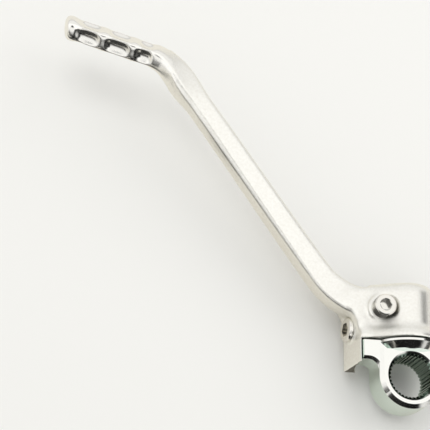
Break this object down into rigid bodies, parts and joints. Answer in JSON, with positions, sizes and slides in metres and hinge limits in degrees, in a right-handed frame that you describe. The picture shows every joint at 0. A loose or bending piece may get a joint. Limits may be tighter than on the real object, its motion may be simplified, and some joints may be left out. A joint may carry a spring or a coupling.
{
  "type": "kick start lever",
  "caption": "Folding kick start lever: forged arm with a notched foot peg, hinged on the post of a splined knuckle that fits the kick shaft, held by a cross screw and a ball detent.",
  "frame": {"origin": "the middle of the splined bore, on its axis", "axes": "+Z along the splined bore, away from the engine; +Y up the pivot post, along the fold axis, which passes 1.1 mm in front of the origin; the arm lies towards -X"},
  "size_m": [0.1817, 0.1747, 0.0389],
  "materials": {
    "knuckle_zinc": "bright zinc plate over a forged and machined surface",
    "lever_nickel": "satin nickel plate over a blasted forging, brighter on the peg",
    "screw_steel": "bright zinc plate",
    "ball_steel": "polished",
    "spring_steel": "drawn wire",
    "dust_rubber": "moulded"
  },
  "bodies": {
    "knuckle": {"splined_knuckle": "knuckle_zinc", "dust_ring": "dust_rubber"},
    "lever": {"lever_arm": "lever_nickel", "retaining_screw": "screw_steel", "detent_plug": "screw_steel", "detent_ball": "ball_steel", "detent_spring": "spring_steel"}
  },
  "joints": [
    {"name": "fold_hinge", "type": "hinge", "parent": "knuckle", "child": "lever", "pos_m": [0, 0.016, 0.0011], "axis": [0, 1, 0], "range_deg": [0, 90]}
  ]
}
